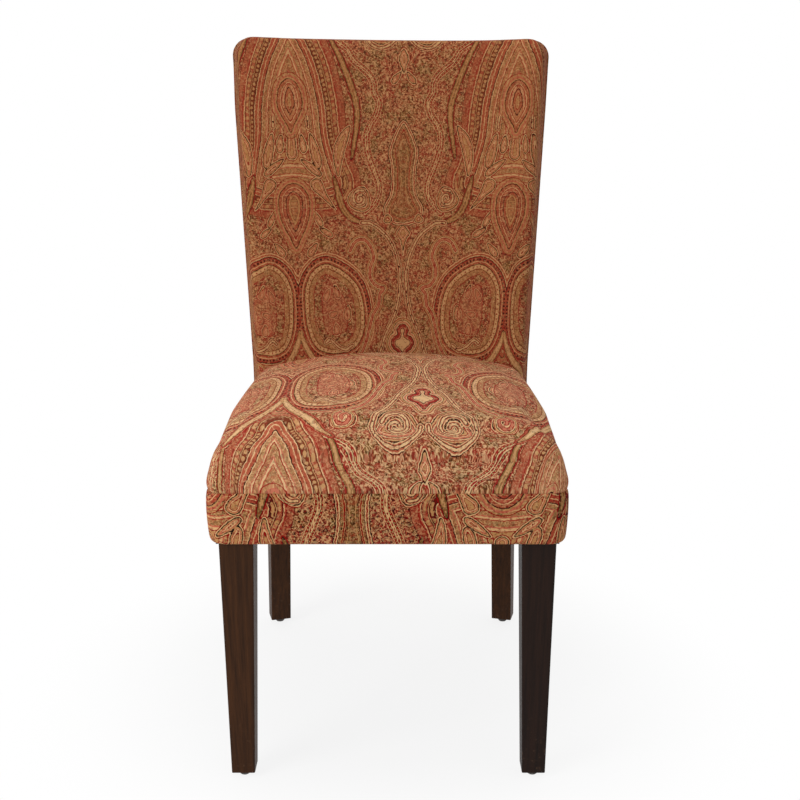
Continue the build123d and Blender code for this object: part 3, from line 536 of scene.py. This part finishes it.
# The bands of yarn that follow each motif's outline: where each starts, in millimetres inside it.
yarns = {
    "wave": [(0, brick), (1, sand), (2.2, cocoa), (3, tan), (4.4, brick), (5.4, sand), (6.4, bare)],
    "arch": [(-64, bare), (-46, walnut), (-45, faint_rust), (-36, brick), (-34.4, rust), (-32.8, sand),
        (-31.4, walnut), (-30, faint_rust), (-24, cocoa), (-23, tan), (-21.6, walnut), (-14, cocoa),
        (-13, sand), (-11.8, rust), (-7.6, sand), (-6.4, rust), (-1.8, cocoa), (-0.8, sand),
        (0.8, faint_tan), (6, rose), (7.4, sand), (9.4, brick), (10.4, faint_tan), (16, rose), (18, sand),
        (20.4, rust), (22, faint_tan), (30, rose), (32, sand), (36, brick), (37.4, tan)],
    "stripe": [(-64, bare), (-3.2, brick), (-1.6, cocoa), (-0.7, olive), (1.2, tan), (3, olive)],
    "leaf": [(-64, bare), (-2.6, brick), (-1.4, sand), (0, cocoa), (0.9, tan), (2.6, rose), (3.6, sand),
        (5, brick), (6, tan)],
    "drop": [(-64, bare), (-11, brick), (-9.8, faint_tan), (-6, rose), (-3.4, tan), (-1, cocoa),
        (0.4, faint_rust), (5, sand), (6.2, brick), (7.6, faint_rose), (12, cocoa), (13, faint_rust),
        (16, brick), (17, tan), (20, walnut), (21, faint_tan)],
    "oval": [(-64, bare), (-21, brick), (-19.8, sand), (-18.4, rust), (-15.6, sand), (-14.4, cocoa),
        (-13.2, brick), (-11.4, rust), (-6.2, sand), (-5, rust), (-2, cocoa), (-0.8, tan), (0.6, sand),
        (4.6, tan), (6, walnut), (7, faint_tan), (15, brick), (16.2, bare), (30, brick),
        (31.2, faint_rose)],
    "tail": [(-64, bare), (-4, brick), (-2.6, rust), (-1, cocoa), (0, tan), (1.6, sand), (3.6, tan)],
    "spire": [(-64, bare), (-5.2, cocoa), (-4.2, sand), (-2.8, brick), (-1, sand), (0.6, cocoa),
        (1.6, faint_olive), (4.4, tan), (5.6, brick), (7, tan), (8, walnut), (9.4, faint_olive), (12, tan),
        (13, faint_olive)],
    "ring": [(-64, bare), (-2, brick), (-0.8, sand), (0.8, cocoa), (1.8, tan), (4, brick), (5.6, sand),
        (7, cocoa), (8, rose), (11, sand), (12.4, brick), (14, tan), (18, cocoa), (19, sand)],
    "heart": [(-64, bare), (-12.4, sand), (-11, brick), (-9.6, tan), (-7, cocoa), (-6, sand), (-4.4, rose),
        (-2.2, sand), (-1, cocoa), (0.4, brick), (4, rose), (6, cocoa), (7, sand)],
    "ribbon": [(0, rose), (1.4, brick), (2.4, sand), (3.6, cocoa), (4.4, tan), (6.4, brick), (7.2, bare)],
    "line": [(0, sand), (1.3, cocoa), (2.1, rust), (3.2, sand), (4.2, cocoa), (5, bare)],
}
# Rows of spots that follow an outline: how far inside, their pitch, their radius and their yarn.
spot_rows = {
    "oval": [(-8.8, 5.6, 1.7, cocoa), (3.2, 8.0, 1.3, brick)],
    "arch": [(-17.8, 7.0, 2.3, tan), (-27.0, 9.0, 2.6, tan)],
    "wave": [(4.0, 5.0, 1.4, brick)],
}
deepest, echo_pitch, thread_pitch = 46.0, 4.6, 0.0013

paisley = bpy.data.node_groups.new("woven_paisley", "ShaderNodeTree")
# The first input is painted light and shade: a per-panel factor that the colour is multiplied by.
sockets(paisley, "INPUT", Nap="Color", Contrast="Float")
sockets(paisley, "OUTPUT", Color="Color", Threads="Float")
inside = add(paisley, "NodeGroupInput").outputs
outside = add(paisley, "NodeGroupOutput").inputs
cloth = add(paisley, "ShaderNodeAttribute", attribute_name="cloth").outputs["Vector"]
gaps = {name: add(paisley, "ShaderNodeAttribute", attribute_name=name).outputs["Fac"] for name in yarns}


def flecked(colour, scale, strength):
    """Scatters small dark, light and red flecks over a colour."""
    cells = add(paisley, "ShaderNodeTexVoronoi", {"Vector": cloth, "Scale": scale})
    chance = add(paisley, "ShaderNodeSeparateColor", {0: cells.outputs["Color"]}).outputs
    for which, yarn in enumerate((cocoa, sand, brick)):
        colour = mixed(paisley, ranged(paisley, chance[which], 0.83, 0.85, 0.0, strength), colour, yarn)
    return colour


wobble = ranged(paisley, noise(paisley, cloth, 170.0, 2.0), 0.0, 1.0, -1.5, 1.5)
mood = ranged(paisley, noise(paisley, cloth, 30.0, 3.0), 0.42, 0.6)
colour = mixed(paisley, mood, rust, olive)
# Broken lines echo the motifs' outlines over the ground between them.
echo = None
for gap in gaps.values():
    size = reckoned(paisley, "ABSOLUTE", gap)
    echo = size if echo is None else reckoned(paisley, "MINIMUM", echo, size)
ramble = ranged(paisley, noise(paisley, cloth, 95.0, 2.0), 0.25, 0.75, -8.0, 8.0)
echo = reckoned(paisley, "MULTIPLY", reckoned(paisley, "ADD", echo, ramble), 2 * math.pi / echo_pitch)
broken = ranged(paisley, noise(paisley, cloth, 320.0, 1.0), 0.3, 0.7, -0.9, 0.9)
echo = reckoned(paisley, "ADD", reckoned(paisley, "SINE", echo), broken)
colour = mixed(paisley, ranged(paisley, echo, 0.5, 0.7, 0.0, 0.8), colour, sand)
colour = mixed(paisley, ranged(paisley, echo, -0.65, -0.85, 0.0, 0.75), colour, cocoa)
colour = flecked(colour, 270.0, 0.55)
for name, stops in yarns.items():
    lowest = float(stops[0][0])
    gap = reckoned(paisley, "ADD", gaps[name], wobble)
    ramp = add(paisley, "ShaderNodeValToRGB", {0: ranged(paisley, gap, lowest, deepest)})
    ramp.color_ramp.interpolation = "CONSTANT"
    marks = ramp.color_ramp.elements
    marks[0].position, marks[0].color = 0.0, stops[0][1]
    marks[1].position, marks[1].color = (stops[1][0] - lowest) / (deepest - lowest), stops[1][1]
    for distance, yarn in stops[2:]:
        marks.new((distance - lowest) / (deepest - lowest)).color = yarn
    colour = mixed(paisley, ramp.outputs["Alpha"], colour, ramp.outputs["Color"])
    for centre, pitch, radius, yarn in spot_rows.get(name, []):
        run = add(paisley, "ShaderNodeAttribute", attribute_name=name + "_run").outputs["Fac"]
        beat = reckoned(paisley, "SUBTRACT", reckoned(paisley, "MODULO", run, pitch), pitch / 2)
        lane = reckoned(paisley, "ADD", gap, -centre)
        spot = add(paisley, "ShaderNodeCombineXYZ", {0: beat, 1: lane}).outputs[0]
        spot = add(paisley, "ShaderNodeVectorMath", {0: spot}, operation="LENGTH").outputs["Value"]
        colour = mixed(paisley, reckoned(paisley, "LESS_THAN", spot, radius), colour, yarn)
colour = flecked(colour, 430.0, 0.35)
turns = (2 * math.pi / thread_pitch, 2 * math.pi / thread_pitch, 0.0)
turned = add(paisley, "ShaderNodeVectorMath", {0: cloth, 1: turns}, operation="MULTIPLY").outputs[0]
turned = add(paisley, "ShaderNodeSeparateXYZ", {0: turned}).outputs
warp, weft = (reckoned(paisley, "SINE", turned[side]) for side in range(2))
threads = reckoned(paisley, "MULTIPLY", warp, weft)
shade = ranged(paisley, threads, -1.0, 1.0, 0.84, 1.1)
middle_tone, darkest_tone = paint(172, 116, 82)[:3], (0.02, 0.006, 0.003)
# The colour is given its contrast, floored, shaded by the threads and multiplied by the panel's painted light
# and shade.
for operation, socket, value in (
    ("SUBTRACT", 1, middle_tone), ("SCALE", "Scale", inside["Contrast"]), ("ADD", 1, middle_tone),
    ("MAXIMUM", 1, darkest_tone), ("SCALE", "Scale", shade), ("MULTIPLY", 1, inside["Nap"]),
):
    colour = add(paisley, "ShaderNodeVectorMath", {0: colour, socket: value}, operation=operation).outputs[0]
paisley.links.new(colour, outside["Color"])
paisley.links.new(threads, outside["Threads"])


def cover_cloth(name, painted_light_and_shade, contrast):
    """The paisley as an upholstery cover. Its colour is multiplied per panel by painted light and shade: raised
    on the seat, darkened on the border and the back.
    """
    made, tree, shader = new_material(name)
    inputs = {"Nap": painted_light_and_shade + (1.0,), "Contrast": contrast}
    weave = add(tree, "ShaderNodeGroup", inputs, node_tree=paisley).outputs
    rough = ranged(tree, weave["Threads"], -1.0, 1.0, 0.95, 0.8)
    surface(shader, weave["Color"], rough, bumps(tree, weave["Threads"], 0.35, 0.0004))
    shader.inputs["Specular IOR Level"].default_value = 0.1
    shader.inputs["Sheen Weight"].default_value = 0.01
    shader.inputs["Sheen Roughness"].default_value = 0.4
    return made


def edge_of_seat(y):
    """Half the seat's width at the seam."""
    return seat_half_front + (seat_half_rear - seat_half_front) * (y - seat_front) / (seat_rear - seat_front)


def seat_edges(points):
    """Plan distance from each point to the seat's edge, and the way out to it."""
    x, y, _ = points.T
    corner = 0.05
    to_side = np.maximum(corner - edge_of_seat(y) + np.abs(x), 0)
    to_front = np.maximum(corner - y + seat_front, 0)
    turn = np.maximum(np.hypot(to_side, to_front), 1e-9)
    room = np.where(turn > 1e-8, corner - turn, np.minimum(edge_of_seat(y) - np.abs(x), y - seat_front))
    return room, np.sign(x) * to_side / turn, -to_front / turn


seat = padding("seat_cushion", "seat_foam", voxel=0.005)
points = coordinates(seat.data)
room_left, out_x, out_y = seat_edges(points)
belly, belly_height, belly_reach = 0.0016, 0.433, 0.012
bulge = belly * np.exp(-((points[:, 2] - belly_height) / belly_reach) ** 2)
points[:, 0] += out_x * bulge
points[:, 1] += out_y * bulge
reshape(seat.data, points)
reach = np.hypot(points[:, 0], points[:, 1] - back_axis)
sewn = (points[:, 2] < seam_height - 0.0015) | (reach > back_low_front - 0.008)
above_seam = np.clip((points[:, 2] - seam_height - 0.010) / 0.035, 0, 1)
near_front = 1 - 0.92 * np.clip((points[:, 1] + 0.26) / 0.12, 0, 1)
flat = stuffed(seat, sewn, shrink=0.003, lift=0.0016, swell=0.001 + 0.002 * above_seam,
               draw_in=0.0005 + 0.0075 * above_seam * near_front)
# The cloth runs over the roll and down the wall, with the pattern closer on the top than at the front.
x, y, z = flat.T
room_left, out_x, out_y = seat_edges(flat)
over = np.clip((roll - room_left) / roll, 0, 1)
drop = roll * (np.arcsin(over) - over) + np.maximum(wall_top - z, 0) * np.clip((over - 0.4) / 0.3, 0, 1)
fold, top_pitch, front_pitch = seat_front + 0.04, 0.71, 0.95
along = y + out_y * drop
along = top_pitch * (np.maximum(along, fold) + 0.124) + front_pitch * np.minimum(along - fold, 0)
print_cloth(seat, x + out_x * drop - 0.047, along + 0.007)
seat.data.materials.clear()
# Painted light: the seat cover's colour is raised by this factor.
seat.data.materials.append(cover_cloth("paisley_seat_cover", painted_light_and_shade=(1.1, 1.04, 0.97), contrast=1.1))
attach(seat, "root")
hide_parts("seat_cover", "seat_foam")

# ---- Seat border --------------------------------------------------------------------------------
# The band of the same cloth round the front and sides of the seat, over a thin layer of wadding on the
# rails. It is sewn to the top cover at the seam and turned under the rails at its hem.
# How far the band stands out from the seat's edge and its height, both in millimetres.
border_profile = [
    (-9.0, 412), (-8.6, 416.5), (-6.4, 419.2), (-3.4, 419.9), (-1.4, 418.9), (-0.4, 416.0), (0.4, 410),
    (0.8, 400), (0.9, 390), (0.6, 380), (0.1, 370), (-0.5, 362), (-1.2, 356.6), (-2.8, 352.8),
    (-5.4, 350.6), (-8.0, 350.3), (-9.6, 351.2), (-10.2, 354), (-10.4, 380)]
profile = drawn(border_profile, closed=True)
lean = math.atan2(seat_half_front - seat_half_rear, seat_rear - seat_front)
seat_corner = 0.024
corner_y = seat_front + seat_corner
corner_x = math.cos(lean) * seat_half_front + math.sin(lean) * (seat_front - corner_y) - seat_corner
corner_x /= math.cos(lean)
border_end = 0.1195
front_run = [(x, seat_front, 0.0, -1.0) for x in np.linspace(0, corner_x, 70, endpoint=False)]
around = np.linspace(-math.pi / 2, lean, 18, endpoint=False)
corner_run = [(corner_x + seat_corner * math.cos(a), corner_y + seat_corner * math.sin(a),
               math.cos(a), math.sin(a)) for a in around]
side_start = corner_y + seat_corner * math.sin(lean)
side_run = [(edge_of_seat(y), y, math.cos(lean), math.sin(lean))
            for y in np.linspace(side_start, border_end, 140)]
right = front_run + corner_run + side_run
path = np.array([(-x, y, -nx, ny) for x, y, nx, ny in reversed(right[1:])] + right)
lengths = np.concatenate([[0], np.cumsum(np.hypot(*np.diff(path[:, :2], axis=0).T))])
lengths -= lengths[len(right) - 1]
rows, ring = len(path), len(profile)
out, up = profile[:, 0] / 1000, profile[:, 1] / 1000
corner_middle, corner_reach, deepest_in, corner_filling = corner_x + 0.018, 0.022, -0.0105, 0.0035
in_corner = np.exp(-((np.abs(lengths) - corner_middle) / corner_reach) ** 2)
offset = np.maximum(out[None, :], deepest_in + corner_filling * in_corner[:, None])
ripple = 0.0005 * np.sin(lengths * 41)[:, None] * np.sin((up - 0.35) / 0.07 * math.pi)[None, :]
offset = offset + (out > -0.003)[None, :] * ripple
points = np.empty((rows, ring, 3))
points[:, :, 0] = path[:, :1] + path[:, 2:3] * offset
points[:, :, 1] = path[:, 1:2] + path[:, 3:4] * offset
points[:, :, 2] = up[None, :]
faces = [(i * ring + j, i * ring + (j + 1) % ring, (i + 1) * ring + (j + 1) % ring, (i + 1) * ring + j)
         for i in range(rows - 1) for j in range(ring)]
faces += [tuple(reversed(range(ring))), tuple((rows - 1) * ring + j for j in range(ring))]
mesh = bpy.data.meshes.new("seat_border_band")
mesh.from_pydata(points.reshape(-1, 3).tolist(), [], faces)
shape = bmesh.new()
shape.from_mesh(mesh)
bmesh.ops.recalc_face_normals(shape, faces=shape.faces)
shape.to_mesh(mesh)
shape.free()
border = bpy.data.objects.new("seat_border_band", mesh)
scene.collection.objects.link(border)
mesh.polygons.foreach_set("use_smooth", [True] * len(mesh.polygons))
height = np.repeat(up[None, :], rows, axis=0)
under = np.where((height < 0.353) & (offset < -0.003), -0.003 - offset, 0)
u = np.repeat(lengths[:, None], ring, axis=1).ravel() + 0.044
print_cloth(border, u, (seam_height - height + under).ravel() + 0.186)
# Painted shade: the border's colour is darkened by this factor.
mesh.materials.append(cover_cloth("paisley_border_cover", painted_light_and_shade=(0.83, 0.67, 0.54), contrast=1.4))
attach(border, "root")
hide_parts("seat_border", "rail_padding_front", "rail_padding_left", "rail_padding_right")

# ---- Back cushion -------------------------------------------------------------------------------
# Foam over the front, the sides and the crest of the back frame, under the inside-back cover. The cover
# is pulled round the posts and the top rail, with softly rounded edges and no welt.
back_angle, recline, back_thickness = math.radians(15), math.radians(14), 0.066
crest_radius, back_top, bend_height = 1.018086, 1.0, 0.430


def round_back(points):
    """Each point's share of the half width, its depth behind the back's front face, and its height."""
    x, y, z = points.T
    swing = np.arctan2(x, y - back_axis)
    raked = crest_radius - back_thickness - (back_top - z) * math.tan(recline)
    front = np.where(z > bend_height, raked, back_low_front)
    return swing / back_angle, np.hypot(x, y - back_axis) - front, z


def eased(value, start, end):
    """Runs softly from 0 to 1 while a value runs from start to end."""
    t = np.clip((value - start) / (end - start), 0, 1)
    return t * t * (3 - 2 * t)


def lay_on_back(points, shift):
    """The cloth's place on the back: it keeps to the back's width and runs on round the sides and the crest."""
    half_width, oval_height = 0.253, 0.575
    share, depth, z = round_back(points)
    behind = np.maximum(depth - 0.006, 0)
    u = share * half_width + np.sign(share) * behind * eased(np.abs(share), 0.93, 0.985) - shift
    v = (z - oval_height) / math.cos(recline) + behind * eased(z, 0.972, 0.99)
    return u, v


def settle_crest(points):
    """The finished back's own unevenness: the crest a little low at its right end, the top corners drawn in."""
    share, _, z = round_back(points)
    side = np.sign(points[:, 0])
    rise = 0.0014 + 0.0018 * np.exp(-((share + 0.25) / 0.5) ** 2) - 0.0028 * eased(share, 0.1, 0.95)
    moved = points.copy()
    moved[:, 2] += rise * eased(z, 0.8, 0.99)
    moved[:, 0] -= side * (0.0018 - 0.001 * side) * eased(z, 0.88, 0.97) * eased(np.abs(share), 0.75, 1)
    return moved


back = padding("back_cushion", "back_foam", voxel=0.005)
points = coordinates(back.data)
share, depth, z = round_back(points)
to_side = np.maximum(back_angle * (1 - np.abs(share)), 0)
side_gap = np.hypot(points[:, 0], points[:, 1] - back_axis) * np.sin(to_side)
outer = (depth < 0.0062) | (side_gap < 0.0052) | (z > 0.988)
flat = stuffed(back, ~outer | (z < bend_height), shrink=0.002, lift=0.0016,
               swell=np.where(np.abs(share) > 0.955, 0.0004, 0.003), draw_in=0.0006)
u, v = lay_on_back(flat, shift=0.0227)
reshape(back.data, settle_crest(coordinates(back.data)))
print_cloth(back, u, v)
# Painted shade: the back's colour, on the inside back and the outside back panel, is darkened by this factor.
back_cloth = cover_cloth("paisley_back_cover", painted_light_and_shade=(0.73, 0.57, 0.43), contrast=1.02)
back.data.materials.clear()
back.data.materials.append(back_cloth)
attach(back, "root")
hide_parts("inside_back_cover", "back_foam")

# ---- Outside back -------------------------------------------------------------------------------
# One panel of the cover cloth, stretched over the rear of the frame and tacked along its edges, with
# nothing behind it but the webbing, so it draws in a little between the posts.


def stretched_cloth(name, node, pitch):
    """A fresh sheet with a CAD panel's shape, sliced into small faces that can take a sag and the print."""
    shape = bmesh.new()
    shape.from_mesh(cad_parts[node].data)
    apart = 0.000001
    bmesh.ops.remove_doubles(shape, verts=shape.verts, dist=apart)
    for axis in np.eye(3):
        ends = [np.dot(point.co, axis) for point in shape.verts]
        for place in np.arange(min(ends) + 0.53 * pitch, max(ends), pitch):
            everything = shape.verts[:] + shape.edges[:] + shape.faces[:]
            bmesh.ops.bisect_plane(shape, geom=everything, dist=apart, plane_co=axis * place, plane_no=axis)
    bmesh.ops.recalc_face_normals(shape, faces=shape.faces)
    mesh = bpy.data.meshes.new(name)
    shape.to_mesh(mesh)
    shape.free()
    piece = bpy.data.objects.new(name, mesh)
    scene.collection.objects.link(piece)
    mesh.polygons.foreach_set("use_smooth", [True] * len(mesh.polygons))
    mesh.set_sharp_from_angle(angle=math.radians(40))
    return piece


panel = stretched_cloth("outside_back_panel", "outside_back_cover", pitch=0.008)
points = coordinates(panel.data)
share, depth, z = round_back(points)
deepest_sag = 0.003
sag = eased(1 - np.abs(share), 0.12, 0.6) * eased(z, 0.43, 0.6) * eased(0.955 - z, 0, 0.15)
sag *= deepest_sag * (depth > 0.05)
points[:, 0] -= sag * np.sin(share * back_angle)
points[:, 1] -= sag * np.cos(share * back_angle)
points = settle_crest(points)
points[:, 2] -= 0.0008 * eased(z, 0.96, 0.99)
reshape(panel.data, points)
half_width, pattern_height = 0.262, 0.60
turned_in = np.maximum(0.064 + 0.0144 * eased(0.5 - z, 0, 0.13) - depth, 0) * (np.abs(share) > 0.95)
u = share * half_width + np.sign(share) * turned_in + 0.03
print_cloth(panel, u, (z - pattern_height) / math.cos(recline))
panel.data.materials.append(back_cloth)
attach(panel, "root")
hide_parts("outside_back_cover")

# ---- Dust cover ---------------------------------------------------------------------------------
# A thin black spun cloth tacked under the seat rails, notched round the legs. It closes the seat from
# below and hangs a little in the middle.
dust_cloth = stretched_cloth("dust_cloth", "dust_cover", pitch=0.012)
points = coordinates(dust_cloth.data)
x, y, z = points.T
half_width, deepest_sag = 0.205, 0.0025
hang = eased(1 - np.abs(x) / half_width, 0, 0.7) * eased(y, -0.3, -0.18) * eased(0.14 - y, 0, 0.12)
points[:, 2] -= deepest_sag * hang
reshape(dust_cloth.data, points)
spun, tree, shader = new_material("black_spun_cloth")
where = place_on(tree)
fibres = noise(tree, where, 420.0, 6.0, 0.75)
pricks = add(tree, "ShaderNodeTexVoronoi", {"Vector": where, "Scale": 380.0}).outputs["Distance"]
black = mixed(tree, fibres, paint(26, 25, 25), paint(58, 56, 55))
surface(shader, black, ranged(tree, fibres, 0.0, 1.0, 0.85, 1.0), bumps(tree, pricks, 0.4, 0.0003))
dust_cloth.data.materials.append(spun)
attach(dust_cloth, "root")
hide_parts("dust_cover")
